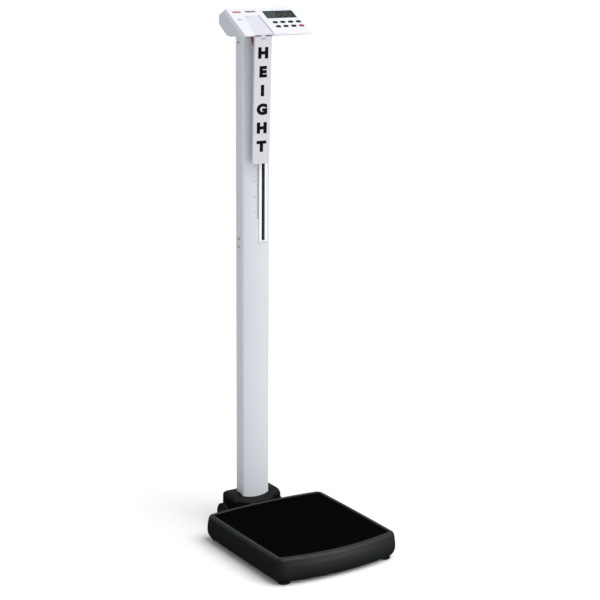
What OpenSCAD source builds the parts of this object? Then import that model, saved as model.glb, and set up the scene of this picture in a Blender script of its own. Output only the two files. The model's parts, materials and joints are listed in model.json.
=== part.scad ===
// Eye-level column scale with a sliding height rod and a fold-out headpiece.
// Millimetres. +Z is up, +X is to the right of a person who faces the display, and -Y is the side
// where that person stands. The origin is on the floor, under the middle of the whole outline.

/* [Platform] */
// Width of the platform across its bowed sides
platform_w = 456; // [452:2:460]
// Depth of the platform at its corners
platform_d = 454; // [450:2:458]
// How far the front edge bows out
edge_bow = 27; // [22:1:28]
// How far the back edge bows out
back_bow = 15; // [12:1:16]
// How far the side edges bow out
side_bow = 2; // [0:1:3]
// Radius of the platform's corners
corner_r = 26; // [24:1:28]
// Height of the rim over the floor
rim_z = 87; // [86:1:89]

/* [Column] */
// Width of the column
column_w = 102; // [100:1:104]
// Depth of the column at its sides
column_d = 44; // [43:1:45]
// How far the column's front bows out
column_bow = 9; // [8:1:10]
// Height of the joint between the two column lengths
seam_z = 959; // [915:2:970]
// Height of the column's top end
column_top = 1615; // [1605:1:1620]

/* [Head] */
// Left end of the head, from the column's middle
head_left = 72; // [70:1:78]
// Right end of the head, from the column's middle
head_right = 174; // [172:1:180]
// Tilt of the display face from level, in degrees
face_tilt = 31; // [30:1:32]
// Depth of the head, front lip to back
head_d = 161; // [158:1:164]

/* [Height rod] */
// Width of the rod's tube
rod_w = 48; // [46:1:48]
// Depth of the rod's tube
rod_d = 22; // [20:1:22]
// Width of the slot that the pointer runs in
slot_w = 12; // [11:1:13]
// Height of the pointer at rest
pointer_z = 1034; // [1010:1:1050]

/* [Headpiece] */
// Length of the headpiece
headpiece_l = 400; // [360:5:410]
// Width of the headpiece
headpiece_w = 61; // [58:1:61]
// Thickness of the headpiece
headpiece_t = 9; // [8:0.5:9]
// Lean of the stowed headpiece, in degrees
headpiece_lean = 2; // [1:0.5:2]

/* [Transport wheels] */
// Radius of a wheel
wheel_r = 35; // [30:1:35]
// Width of a wheel
wheel_t = 13; // [10:1:14]

/* [Hidden] */
$fn = 64;
wall = 2.5;          // moulded wall of the head and the cap
gap = 0.5;           // clearance between pieces that only sit beside each other
half_depth = 320;    // half of the whole outline, front edge to back of the head

// Platform
platform_y = edge_bow + platform_d / 2 - half_depth;
cover_wall = 3;
cover_z = 8;         // lower edge of the cover
mat_floor = rim_z - 5;
mat_t = 3;
rim_w = 22;
deck_z = 63;
deck_t = 2;
rail_z = 43;
rail_h = 20;
rail_wall = 2;
rail_out = 202;      // outer side of the side rails
rail_in = 174;
frame_front = platform_y - 200;
frame_back = platform_y + 200;
rail_w = rail_out - rail_in;
foot_x = 188;
foot_y = 203;        // from the platform's middle
foot_r = 20;
foot_h = 7;
cell_w = 20;
cell_l = 80;
cell_z = 14;
cell_h = 16;
cell_end = 8;        // from the foot's stud to the load cell's outer end
corners = [[-1, -1], [1, -1], [-1, 1], [1, 1]];

// Column
column_back = half_depth - 67;
column_front = column_back - column_d;
column_mid = (column_back + column_front) / 2;
column_wall = 2.2;
plate_z = deck_z;
plate_t = 6;
foot_plate_z = plate_z + plate_t;
foot_plate_t = 4;
column_z = foot_plate_z + foot_plate_t;
splice_l = 120;
splice_in = column_w / 2 - column_wall - 3.2;
screw_heights = [seam_z - 12, seam_z + 15, column_top - 18];

// Socket and wheels
socket_w = 190;
socket_back = column_back + 21;
socket_top = 106;
socket_front = column_front - 14;
socket_z = 12;
axle_y = column_back - 7;
axle_r = 4;
axle_z = wheel_r + 2;
wheel_x = socket_w / 2 + 2;
hub_r = wheel_r - 8;

// Height rod
rod_x = -20;
rod_y = column_front + 2;
rod_bottom = 711;
rod_top = column_top + 26;
slot_x = 21;         // middle of the slot
track_x0 = 4;
track_x1 = 38;
track_back = column_front - 2;

// Head
head_back = half_depth;
lip_y = head_back - head_d;
lip_z = column_top + 11.5;
lip_h = 7;
face_back = head_back - 42;
face_z = lip_z + (face_back - lip_y) * tan(face_tilt);
head_profile = [
  [lip_y, lip_z - lip_h], [lip_y + 44, column_top], [lip_y + 111, column_top], [head_back, column_top + 34],
  [head_back, column_top + 63], [face_back, face_z], [lip_y, lip_z]
];
head_radii = [2, 10, 14, 12, 8, 3, 3];
end_r = 4;           // rounding of the head's end edges
split_depth = 15;    // depth of the front shell under the face
channel_back = lip_y + 84;
channel_gap = 0.8;
cap_step = 2.4;      // the cap's face lies this far under the head's
cap_z = column_top + 6;

// Display and keys, placed on the face: x, and s down the slope from its upper edge
lcd_x = [52.5, 162];
lcd_s = [19.5, 58.5];
key_x = [69, 97, 126, 155];
key_s = [81.5, 104];
key_size = [18, 10];
key_rise = 1.5;
key_gap = 0.35;
board_h = -11.5;     // underside of the main board, measured from the face
battery_y = [lip_y + 55, lip_y + 105];
battery_x = [64, 170];
door_t = 2.4;
cell_aa_r = 7.25;
cell_aa_l = 48;
jack_x = 100;
jack_z = column_top + 49;
jack_bore_r = 2.85;
jack_bore_l = 11;
jack_side = 12;

// Headpiece and its hinge
pin_y = lip_y + 11;
pin_z = column_top - 1;
pin_r = 1.6;
knuckle_r = 5;
ear_w = 16;
headpiece_r = 9;     // round of the headpiece's lower corners
bumper_x = 17;

// Board, cable
cable_x = -41.5;
cable_y = column_back - 17;
cable_r = 2.5;
cable_z = 26;
board_z = deck_z - 12;

// ---------- helpers ----------

function unit(v) = v / norm(v);

// Points of a rounded rectangle, counter-clockwise, each edge cut into m lengths and each corner into n
function rounded_rect(w, d, r, n = 6, m = 8) = [
  for (k = [0:3])
    let (
      s = [[1, 1], [-1, 1], [-1, -1], [1, -1]][k],
      t = [[-1, 1], [-1, -1], [1, -1], [1, 1]][k],
      c = [s.x * (w / 2 - r), s.y * (d / 2 - r)],
      next = [t.x * (w / 2 - r), t.y * (d / 2 - r)],
      a = 90 * k,
      off = r * [cos(a + 90), sin(a + 90)]
    )
    each concat(
      [for (i = [0:n]) c + r * [cos(a + 90 * i / n), sin(a + 90 * i / n)]],
      [for (j = [1:m - 1]) (c + off) * (1 - j / m) + (next + off) * j / m]
    )
];

// Bows the edges of an outline of half-size h outwards: sides by b.x, front by b.y, back by b.z
function bowed(points, h, b) = [
  for (p = points)
    [
      p.x + b.x * p.x / h.x * (1 - pow(p.y / h.y, 2)),
      p.y + (p.y < 0 ? b.y : b.z) * p.y / h.y * (1 - pow(p.x / h.x, 2))
    ]
];

// The platform's outline, drawn in by i
function platform_outline(i) =
  let (w = platform_w - 2 * side_bow - 2 * i, d = platform_d - 2 * i)
  [for (p = bowed(rounded_rect(w, d, max(corner_r - i, 2)), [w / 2, d / 2], [side_bow, edge_bow, back_bow]))
    p + [0, platform_y]];

// The column's outline, drawn in by i: only its front is bowed
function column_outline(i) =
  let (w = column_w - 2 * i, d = column_d - 2 * i)
  [for (p = rounded_rect(w, d, max(6 - i, 1)))
    [p.x, p.y - (p.y < 0 ? column_bow * -p.y / (d / 2) * (1 - pow(p.x / (w / 2), 2)) : 0) + column_mid]];

// Rounds each corner of a convex polygon with its own radius
function fillet(points, radii, n = 6) = [
  for (i = [0:len(points) - 1])
    let (
      b = points[i],
      u = unit(points[(i + len(points) - 1) % len(points)] - b),
      v = unit(points[(i + 1) % len(points)] - b),
      half = acos(u * v) / 2,
      r = max(radii[i], 0.3),
      centre = b + unit(u + v) * r / sin(half),
      s = b + u * r / tan(half) - centre,
      e = b + v * r / tan(half) - centre,
      sweep = 180 - 2 * half
    )
    for (k = [0:n]) centre + (sin(sweep * (1 - k / n)) * s + sin(sweep * k / n) * e) / sin(sweep)
];

// Draws a convex polygon in by t
function inset(points, t) = [
  for (i = [0:len(points) - 1])
    let (
      b = points[i],
      u = unit(points[(i + len(points) - 1) % len(points)] - b),
      v = unit(points[(i + 1) % len(points)] - b)
    )
    b + unit(u + v) * t / sin(acos(u * v) / 2)
];

// Plan of the channel through the head, grown by c
function channel_plan(c) = [
  [-34.5 - c, lip_y - 5], [-34.5 - c, lip_y], [-23 - c, channel_back + c],
  [31.3 + c, channel_back + c], [34.7 + c, lip_y], [34.7 + c, lip_y - 5]
];

// Extrudes a profile drawn in Y and Z from x0 to x1
module along_x(x0, x1) translate([x0, 0, 0]) rotate([90, 0, 90]) linear_extrude(x1 - x0) children();

// A solid between two corners
module block(a, b) translate(a) cube(b - a);

// A solid through rings of points that all have the same count
module loft(rings) {
  n = len(rings[0]);
  polyhedron(
    points = [for (ring = rings) each ring],
    faces = concat(
      [[for (i = [0:n - 1]) i]],
      [for (k = [0:len(rings) - 2], i = [0:n - 1])
        [k * n + i, (k + 1) * n + i, (k + 1) * n + (i + 1) % n, k * n + (i + 1) % n]],
      [[for (i = [n - 1:-1:0]) (len(rings) - 1) * n + i]]
    ),
    convexity = 4
  );
}

function at_height(points, z) = [for (p = points) [p.x, p.y, z]];

// A round bar from a to b
module bar(a, b, r) {
  d = b - a;
  translate(a) rotate([0, acos(d.z / norm(d)), atan2(d.y, d.x)]) cylinder(h = norm(d), r = r, $fn = 24);
}

// A wire along straight runs with round elbows
module wire(points, r) {
  for (i = [0:len(points) - 2]) bar(points[i], points[i + 1], r);
  for (i = [1:len(points) - 2]) translate(points[i]) sphere(r = r, $fn = 24);
}

// A plate with round ends, w wide and h high, t thick
module stadium(w, h, t) {
  linear_extrude(t) {
    square([w - h, h], center = true);
    for (s = [-1, 1]) translate([s * (w - h) / 2, 0]) circle(d = h);
  }
}

// Places children on the display face: x, distance down the slope, height over the face
module on_face(x, s, h)
  translate([0, face_back, face_z]) rotate([face_tilt, 0, 0]) translate([x, -s, h]) children();

// ---------- base ----------

module tube_x(x0, x1, y0, y1) difference() {
  block([x0, y0, rail_z], [x1, y1, rail_z + rail_h]);
  block([x0 - 1, y0 + rail_wall, rail_z + rail_wall], [x1 + 1, y1 - rail_wall, rail_z + rail_h - rail_wall]);
}

module tube_y(x0, x1, y0, y1) difference() {
  block([x0, y0, rail_z], [x1, y1, rail_z + rail_h]);
  block([x0 + rail_wall, y0 - 1, rail_z + rail_wall], [x1 - rail_wall, y1 + 1, rail_z + rail_h - rail_wall]);
}

module base_frame() color("dimgray") {
  for (s = [-1, 1]) {
    tube_y(s > 0 ? rail_in : -rail_out, s > 0 ? rail_out : -rail_in, frame_front, frame_back);
    tube_y(s > 0 ? 14 : -38, s > 0 ? 38 : -14, frame_front + rail_w, axle_y - 16);
    axle_ear(s);
  }
  tube_x(-rail_in, rail_in, frame_front, frame_front + rail_w);
  tube_x(-rail_in, rail_in, frame_back - rail_w, frame_back);
  difference() {
    block([-80, column_front - 30, plate_z], [80, column_back + 10, foot_plate_z]);
    translate([cable_x, cable_y, plate_z - 1]) cylinder(h = plate_t + 2, r = 5);
    foot_bolt_places(plate_z - 1) cylinder(h = plate_t + 2, r = 3.3, $fn = 32);
  }
}

// Ear under the column plate that carries the wheel axle
module axle_ear(s) difference() {
  block([s > 0 ? 66 : -71, axle_y - 14, axle_z - 10], [s > 0 ? 71 : -66, axle_y + 14, plate_z]);
  translate([s * 68.5, axle_y, axle_z]) rotate([0, 90, 0]) cylinder(h = 8, r = axle_r + 0.05, center = true);
}

module base_deck() color("gray") block([-rail_out, frame_front, deck_z], [rail_out, frame_back, deck_z + deck_t]);

// Wall profile of the cover as [inset, height], from its lower edge up to the rim
cover_profile = [
  [14, cover_z], [8, cover_z + 4], [2.5, cover_z + 16], [0, 41], [1.2, 58],
  [5, rim_z - 11], [9, rim_z - 3], [13, rim_z]
];

module platform_cover() color([0.06, 0.07, 0.07]) {
  difference() {
    loft([for (p = cover_profile) at_height(platform_outline(p[0]), p[1])]);
    translate([0, 0, -1]) linear_extrude(mat_floor - cover_wall + 1) polygon(platform_outline(14 + cover_wall));
    translate([0, 0, mat_floor]) linear_extrude(20) polygon(platform_outline(rim_w));
    block([-84, platform_y + 190, -1], [84, platform_y + 260, plate_z + plate_t + 2]);
  }
  for (x = [-150:60:150]) rib([x - 1.5, frame_front + 4], [x + 1.5, frame_back - 4]);
}

// A rib under the platform's top, down to the deck
module rib(a, b) block([a.x, a.y, deck_z + deck_t], [b.x, b.y, mat_floor - cover_wall]);

module platform_mat() color([0.02, 0.02, 0.02])
  translate([0, 0, mat_floor]) linear_extrude(mat_t) polygon(platform_outline(rim_w + 0.4));

// Load cell at corner c: a bar with two cross holes, bolted to the rail at its inner end
module load_cell(c) color("silver")
  translate([c.x * foot_x, platform_y + c.y * foot_y, 0]) mirror([0, c.y > 0 ? 1 : 0, 0]) difference() {
    union() {
      block([-cell_w / 2, -cell_end, cell_z], [cell_w / 2, cell_l - cell_end, cell_z + cell_h]);
      block([-cell_w / 2, cell_l - cell_end - 28, cell_z + cell_h], [cell_w / 2, cell_l - cell_end, rail_z]);
    }
    for (y = [18, 30]) translate([0, y, cell_z + cell_h / 2]) rotate([0, 90, 0])
      cylinder(h = cell_w + 2, r = 5, center = true);
    for (y = [46, 61]) translate([0, y, cell_z - 1]) cylinder(h = rail_z - cell_z + 2, r = 3.2, $fn = 32);
  }

module foot(c) color([0.05, 0.05, 0.05]) translate([c.x * foot_x, platform_y + c.y * foot_y, 0]) {
  rotate_extrude() polygon([[0, 0], [foot_r - 2, 0], [foot_r, 2], [foot_r - 1.5, foot_h], [0, foot_h]]);
  translate([0, 0, foot_h]) cylinder(h = cell_z - foot_h, r = 5, $fn = 32);
}

module load_cell_bolts() color("gainsboro") for (c = corners, y = [46, 61])
  translate([c.x * foot_x, platform_y + c.y * (foot_y - y), 0]) {
    translate([0, 0, cell_z - 4]) cylinder(h = 4, r = 5, $fn = 6);
    translate([0, 0, cell_z]) cylinder(h = rail_z - cell_z, r = 3, $fn = 32);
  }

module junction_board() color("seagreen") {
  block([-150, platform_y + 60, board_z], [-56, platform_y + 110, board_z + 1.6]);
  for (i = [0:3])
    block([-144 + 15 * i, platform_y + 62, board_z + 1.6], [-134 + 15 * i, platform_y + 70, board_z + 7]);
  block([-112, platform_y + 84, board_z + 1.6], [-98, platform_y + 98, board_z + 3]);
}

// Four thin leads from the load cells' inner ends to the board
module load_cell_leads() color("dimgray") for (i = [0:3])
  let (
    c = corners[i],
    x = -139 + 15 * i,
    y = platform_y + c.y * (foot_y - 40),
    z = i < 2 ? 28 : 20
  )
  wire([
    [c.x * (foot_x - cell_w / 2), y, z], [x, y, z], [x, platform_y + 66, z], [x, platform_y + 66, board_z]
  ], 1.2);

// ---------- transport wheels ----------

module wheel_axle() color("silver") translate([0, axle_y, axle_z]) rotate([0, 90, 0])
  cylinder(h = 2 * (wheel_x + wheel_t + 3), r = axle_r, center = true);

module axle_clips() color("silver") for (s = [-1, 1])
  translate([s * (wheel_x + wheel_t + 1.4), axle_y, axle_z]) rotate([0, 90, 0]) difference() {
    cylinder(h = 1.6, r = 7, center = true);
    cylinder(h = 4, r = axle_r, center = true);
  }

module wheel_place(s) translate([s * (wheel_x + wheel_t / 2), axle_y, axle_z]) rotate([0, 90, 0]) children();

module wheel_hub(s) color("dimgray") wheel_place(s) difference() {
  union() {
    cylinder(h = wheel_t - 6, r = hub_r, center = true);
    cylinder(h = wheel_t, r = 10, center = true);
    difference() {
      cylinder(h = wheel_t - 1, r = hub_r, center = true);
      cylinder(h = wheel_t, r = hub_r - 3, center = true);
    }
  }
  cylinder(h = wheel_t + 2, r = axle_r + 0.06, center = true);
}

module wheel_tyre(s) color([0.05, 0.05, 0.05]) wheel_place(s) rotate_extrude()
  polygon([[hub_r, -wheel_t / 2], [wheel_r - 2, -wheel_t / 2], [wheel_r, -wheel_t / 2 + 2],
    [wheel_r, wheel_t / 2 - 2], [wheel_r - 2, wheel_t / 2], [hub_r, wheel_t / 2]]);

// ---------- column ----------

// Plan of the socket, drawn in by i
module socket_plan(i) {
  w = socket_w / 2 - i;
  front = socket_front - 40;
  for (s = [-1, 1]) {
    translate([s * (w - 14), socket_front + 14]) circle(r = 14);
    translate([s * (w - 12), socket_back - i - 12]) circle(r = 12);
  }
  translate([-w + 14, front]) square([2 * w - 28, socket_back - i - 12 - front]);
  translate([-w, socket_front + 14]) square([2 * w, socket_back - i - 26 - socket_front]);
  translate([-w + 12, socket_front + 14]) square([2 * w - 24, socket_back - i - socket_front - 14]);
}

// Section of the socket at x, drawn in by i: in the middle its front edge comes forward as a low
// lip and its top dips in front of the column, and at both ends the top rounds down
function socket_section(x, i) =
  let (
    s = pow(max(0, 1 - pow(x / 80, 2)), 1.3),
    top = socket_top - i - 16 * (1 - sqrt(1 - pow(max(0, abs(x) - 75) / 20, 2))),
    y = socket_front - 25 * s + i,
    low = socket_z - (i > 0 ? 20 : 0)
  )
  [for (p = [
    [y, low], [socket_back - i, low], [socket_back - i, top - 6], [socket_back - 2 - i, top - 2],
    [socket_back - 6 - i, top], [column_front + 14, top], [column_front, top - 2 - 8 * s],
    [y + 12, top - 5 - 12 * s], [y + 4, top - 9 - 14 * s], [y, top - 16 - 14 * s]
  ]) [x, p.x, p.y]];

// Where the sections stand: closer together where the ends round down
socket_half = [5, 10, 15, 20, 25, 30, 35, 40, 45, 50, 55, 60, 65, 70, 75, 80, 84, 88, 91, 93, 94.5, 95];
socket_x = concat([for (k = [len(socket_half) - 1:-1:0]) -socket_half[k]], [0], socket_half);

module socket_solid(i) intersection() {
  translate([0, 0, -20]) linear_extrude(200) socket_plan(i);
  loft([for (x = socket_x) socket_section(x, i)]);
}

module column_socket() color([0.07, 0.08, 0.08]) difference() {
  socket_solid(0);
  socket_solid(cover_wall);
  translate([0, 0, -30]) linear_extrude(300) polygon(platform_outline(-gap));
  block([-84, 0, -30], [84, column_front, plate_z + plate_t + 2]);
  translate([0, 0, socket_z]) linear_extrude(200) polygon(column_outline(-gap));
  translate([0, axle_y, axle_z]) rotate([0, 90, 0]) cylinder(h = socket_w + 10, r = axle_r + 1, center = true);
}

module foot_bolt_places(z) for (x = [-54, 54], y = [column_front - 6, column_back + 4])
  translate([x, y, z]) children();

// Flange and spigot that the column stands on
module column_foot() color("dimgray") difference() {
  union() {
    block([-62, column_front - 14, foot_plate_z], [62, column_back + 10, column_z]);
    linear_extrude(150) polygon(column_outline(column_wall + 0.3));
  }
  linear_extrude(400, center = true) polygon(column_outline(column_wall + 3.5));
  translate([0, 0, -1]) linear_extrude(foot_plate_z + 1) square(800, center = true);
  foot_bolt_places(foot_plate_z - 1) cylinder(h = foot_plate_t + 2, r = 3.3, $fn = 32);
}

module column_foot_bolts() color("gainsboro") foot_bolt_places(plate_z - 5) {
  cylinder(h = column_z - plate_z + 5, r = 3, $fn = 32);
  cylinder(h = 5, r = 5.5, $fn = 6);
  translate([0, 0, column_z - plate_z + 5]) cylinder(h = 4, r = 5.5, $fn = 6);
}

module column_length(z0, z1) translate([0, 0, z0]) linear_extrude(z1 - z0) difference() {
  polygon(column_outline(0));
  polygon(column_outline(column_wall));
}

// Holes for the column's side screws, at heights zs
module screw_holes(zs) for (z = zs) translate([0, column_mid, z]) rotate([0, 90, 0])
  cylinder(h = column_w + 10, r = 2.1, center = true, $fn = 32);

module lower_column() color([0.85, 0.86, 0.88]) difference() {
  column_length(column_z, seam_z);
  screw_holes([screw_heights[0]]);
}

module upper_column() color([0.86, 0.87, 0.89]) difference() {
  column_length(seam_z, column_top);
  block([track_x0, column_front - 20, seam_z + 3], [track_x1, column_mid - 10, column_top + 1]);
  screw_holes([screw_heights[1], screw_heights[2]]);
}

// Plates inside the joint of the two column lengths
module column_splice() color("silver") difference() {
  for (s = [-1, 1])
    block([s > 0 ? splice_in : -splice_in - 3, column_front + 7, seam_z - splice_l / 2],
      [s > 0 ? splice_in + 3 : -splice_in, column_back - 7, seam_z + splice_l / 2]);
  screw_holes([screw_heights[0], screw_heights[1]]);
}

// Side screws: pan head outside, shank through the wall into the plate inside
module column_screws() color("silver") for (s = [-1, 1], z = screw_heights)
  translate([s * column_w / 2, column_mid, z]) rotate([0, s * 90, 0]) {
    cylinder(h = 2, r1 = 4, r2 = 3, $fn = 32);
    translate([0, 0, -7.5]) cylinder(h = 7.5, r = 2, $fn = 32);
  }

// Frame of the pointer's slot, set into the column's front
module track_insert() color([0.93, 0.94, 0.95]) difference() {
  translate([0, 0, seam_z + 3.2]) linear_extrude(column_top - seam_z - 4.2) polygon([
    [track_x0 + 0.2, track_back], [track_x0 + 0.2, column_front - 11.5],
    [slot_x - slot_w / 2 - 2, column_front - 11.5], [slot_x + slot_w / 2 + 2, column_front - 9],
    [track_x1 - 0.2, column_front - 7.5], [track_x1 - 0.2, track_back]
  ]);
  block([slot_x - slot_w / 2, column_front - 20, seam_z + 7], [slot_x + slot_w / 2, column_mid, column_top - 6]);
}

module rod_bush() color("ivory") difference() {
  intersection() {
    block([-43, column_front - 1.6, column_top - 44], [43, column_back, column_top - 4]);
    linear_extrude(2000) polygon(column_outline(column_wall + 0.3));
  }
  block([rod_x - 0.3, rod_y - 0.3, 0], [rod_x + rod_w + 0.3, rod_y + rod_d + 0.3, 2000]);
  translate([cable_x, cable_y, 0]) cylinder(h = 2000, r = cable_r + 0.3);
  block([-50, cable_y - 1, 0], [cable_x, cable_y + 1, 2000]);
}

// Cable from the base up inside the column to the display's board
module signal_cable() color("dimgray") wire([
  [-62, platform_y + 100, board_z], [-62, platform_y + 100, cable_z], [-62, cable_y - 18, cable_z],
  [cable_x, cable_y - 18, cable_z], [cable_x, cable_y, cable_z], [cable_x, cable_y, column_top + 28],
  [cable_x, column_back + 5, column_top + 28], [70, column_back + 5, column_top + 28],
  [70, column_back + 5, column_top + 56]
], cable_r);

// ---------- head ----------

// Section of the head at x, drawn in by t
function head_section(x, t) = [
  for (p = fillet(inset(head_profile, t), [for (r = head_radii) max(r - t, 0.5)])) [x, p.x, p.y]
];

// The head's outside, with a quarter round of radius end_r along the edges of both ends
module head_outer() loft(concat(
  [for (a = [90:-15:0]) head_section(-head_left + end_r * (1 - sin(a)), end_r * (1 - cos(a)))],
  [for (a = [0:15:90]) head_section(head_right - end_r * (1 - sin(a)), end_r * (1 - cos(a)))]
));

module head_inner() along_x(wall - head_left, head_right - wall)
  polygon(fillet(inset(head_profile, wall), [for (r = head_radii) max(r - wall, 0.5)]));

module head_shell() difference() {
  union() {
    difference() {
      head_outer();
      head_inner();
    }
    intersection() {
      head_outer();
      translate([0, 0, 1500]) linear_extrude(300) polygon(channel_plan(channel_gap + wall));
    }
  }
  translate([0, 0, 1400]) linear_extrude(500) polygon(channel_plan(channel_gap));
}

module over_split(h) on_face(-300, 300, h) cube([700, 600, 200]);

module head_front() color([0.93, 0.94, 0.95]) difference() {
  intersection() {
    head_shell();
    over_split(-split_depth);
  }
  on_face(lcd_x[0], lcd_s[1], -10) cube([lcd_x[1] - lcd_x[0], lcd_s[1] - lcd_s[0], 20]);
  for (x = key_x, s = key_s) on_face(x, s, -10) stadium(key_size.x + 2 * key_gap, key_size.y + 2 * key_gap, 20);
}

module head_rear() color([0.8, 0.82, 0.85]) difference() {
  head_shell();
  over_split(-split_depth);
  block([-48.6, column_front + 1.8, column_top - 5], [48.6, column_back - 4, column_top + 5]);
  block([battery_x[0] - 2, battery_y[0] - 2, column_top - 1],
    [head_right + 1, battery_y[1] + 2, column_top + door_t + 0.3]);
  block([jack_x - jack_side / 2, head_back - 10, jack_z - jack_side / 2],
    [jack_x + jack_side / 2, head_back + 1, jack_z + jack_side / 2]);
  head_screw_places() cylinder(h = 20, r = 2.2, center = true, $fn = 32);
}

module head_screw_places() for (x = [-60, 57], y = [column_front + 4, column_back + 7])
  translate([x, y, column_top]) children();

// Steel bracket: a plate on the head's floor and two legs down inside the column
module head_bracket() color("silver") difference() {
  union() {
    block([-66, column_front - 3, column_top + wall], [61.5, column_back + 13, column_top + wall + 3]);
    for (s = [-1, 1]) block([s > 0 ? 45.4 : -48.4, column_front + 7, column_top - 64],
      [s > 0 ? 48.4 : -45.4, column_back - 7, column_top + 3]);
  }
  translate([0, 0, column_top + 1]) linear_extrude(20) polygon(channel_plan(channel_gap + wall + 0.4));
  translate([cable_x, cable_y, column_top]) cylinder(h = 20, r = 4.5);
  block([-60, cable_y - 4.5, column_top - 70], [cable_x, cable_y + 4.5, column_top - 4]);
  screw_holes([screw_heights[2]]);
  head_screw_places() cylinder(h = 30, r = 2.2, center = true, $fn = 32);
}

module head_screws() color("silver") head_screw_places() {
  translate([0, 0, -2]) cylinder(h = 2, r = 4, $fn = 32);
  cylinder(h = wall + 5, r = 2, $fn = 32);
}

module lcd_window() color([0.7, 0.8, 0.75, 0.4])
  on_face(lcd_x[0] + 0.3, lcd_s[1] - 0.3, -2) cube([lcd_x[1] - lcd_x[0] - 0.6, lcd_s[1] - lcd_s[0] - 0.6, 1.6]);

module lcd_module() color([0.3, 0.42, 0.36])
  on_face(lcd_x[0] - 2, lcd_s[1] + 2, board_h + 1.5) cube([lcd_x[1] - lcd_x[0] + 4, lcd_s[1] - lcd_s[0] + 4, 7.2]);

module main_board() color("seagreen") on_face(46, 116, board_h) cube([122, 104, 1.5]);

module key_switches() color("black") for (x = key_x, s = key_s) on_face(x, s, board_h + 1.5) {
  translate([-3, -3, 0]) cube([6, 6, 3]);
  cylinder(h = 3.9, r = 1.6, $fn = 32);
}

// Key at column i and row j of the pad, with a flange that keeps it in its hole
module key(i, j) on_face(key_x[i], key_s[j], 0) {
  translate([0, 0, -4.5]) stadium(key_size.x, key_size.y, 4.5 + key_rise);
  translate([0, 0, -4.8]) stadium(key_size.x + 3, key_size.y + 3, 1);
}

module dark_key(i, j) color([0.1, 0.11, 0.12]) key(i, j);

module battery_holder() color("black") difference() {
  block([battery_x[0], battery_y[0], column_top + door_t + 0.8], [battery_x[1], battery_y[1], column_top + 20]);
  for (y = cell_rows, s = [0, 1]) battery_at(y, s, 0.4);
  block([battery_x[0] + 2, battery_y[0] + 2, column_top], [battery_x[1] - 2, battery_y[1] - 2, column_top + 12]);
}

cell_rows = [for (i = [0:2]) battery_y[0] + 9 + 16 * i];

// A cell in row y, on side s, grown by c
module battery_at(y, s, c) translate([battery_x[0] + 3.5 + s * 51, y, column_top + 12.4]) rotate([0, 90, 0])
  translate([0, 0, -c]) cylinder(h = cell_aa_l + 2 * c, r = cell_aa_r + c);

module batteries() color("goldenrod") for (y = cell_rows, s = [0, 1]) battery_at(y, s, 0);

module battery_door() color([0.8, 0.82, 0.85]) {
  block([battery_x[0] - 1.7, battery_y[0] - 1.7, column_top],
    [head_right, battery_y[1] + 1.7, column_top + door_t]);
  for (i = [0:3]) block([150 + 4 * i, battery_y[0] + 14, column_top - 0.8],
    [152 + 4 * i, battery_y[1] - 14, column_top]);
}

module dc_jack() color("black") difference() {
  union() {
    block([jack_x - jack_side / 2 + 0.2, head_back - 15, jack_z - jack_side / 2 + 0.2],
      [jack_x + jack_side / 2 - 0.2, head_back, jack_z + jack_side / 2 - 0.2]);
    block([jack_x - 8, head_back - 15, jack_z - 8], [jack_x + 8, head_back - wall, jack_z + 8]);
  }
  translate([jack_x, head_back + 1, jack_z]) rotate([90, 0, 0]) cylinder(h = jack_bore_l + 1, r = jack_bore_r);
}

// ---------- height rod ----------

module height_rod() color([0.25, 0.27, 0.28]) difference() {
  block([rod_x, rod_y, rod_bottom], [rod_x + rod_w, rod_y + rod_d, rod_top]);
  block([rod_x + 2, rod_y + 2, rod_bottom - 1], [rod_x + rod_w - 2, rod_y + rod_d - 2, rod_top + 1]);
}

module rod_glide() color("ivory") difference() {
  block([-36, column_front - 0.2, rod_bottom], [36, column_back - 2.6, rod_bottom + 30]);
  block([rod_x, rod_y, rod_bottom - 1], [rod_x + rod_w, rod_y + rod_d, rod_bottom + 40]);
}

// Cap over the rod that fills the head's channel, with the headpiece's middle hinge ear below it
module rod_cap() color([0.9, 0.91, 0.93]) difference() {
  union() {
    cap_body(0);
    block([-ear_w / 2, pin_y - knuckle_r, pin_z], [ear_w / 2, pin_y + knuckle_r, cap_z + 1]);
    translate([0, pin_y, pin_z]) rotate([0, 90, 0]) cylinder(h = ear_w, r = knuckle_r, center = true);
  }
  difference() {
    cap_body(wall);
    block([rod_x - 2.4, rod_y - 2.4, 0], [rod_x + rod_w + 2.4, rod_y + rod_d + 2.4, 2000]);
    block([-40, 0, 0], [40, pin_y + 20, 2000]);
  }
  block([rod_x, rod_y, 0], [rod_x + rod_w, rod_y + rod_d, rod_top]);
  translate([0, pin_y, pin_z]) rotate([0, 90, 0]) cylinder(h = 100, r = pin_r + 0.05, center = true);
}

// The cap's body, drawn in by i, open at the bottom where i is over 0
module cap_body(i) intersection() {
  translate([0, 0, cap_z - i]) linear_extrude(200) polygon(channel_plan(-i));
  along_x(-100, 100) polygon(fillet(inset(head_profile, i + cap_step), [for (r = head_radii) max(r - 1, 0.5)]));
}

// Red bracket under the cap: two gussets behind the headpiece's hinge, joined by a plate
module hinge_bracket() color([0.6, 0.05, 0.07]) {
  y0 = pin_y + knuckle_r + 1.4;
  y1 = column_front - 11.8;
  block([-28.5, y0, cap_z - 3], [28.5, y1, cap_z]);
  for (s = [-1, 1]) along_x(s > 0 ? 24.5 : -28.5, s > 0 ? 28.5 : -24.5)
    polygon([[y0, cap_z], [y0, cap_z - 36], [y0 + 3, cap_z - 36], [y1, cap_z - 8], [y1, cap_z]]);
}

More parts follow.
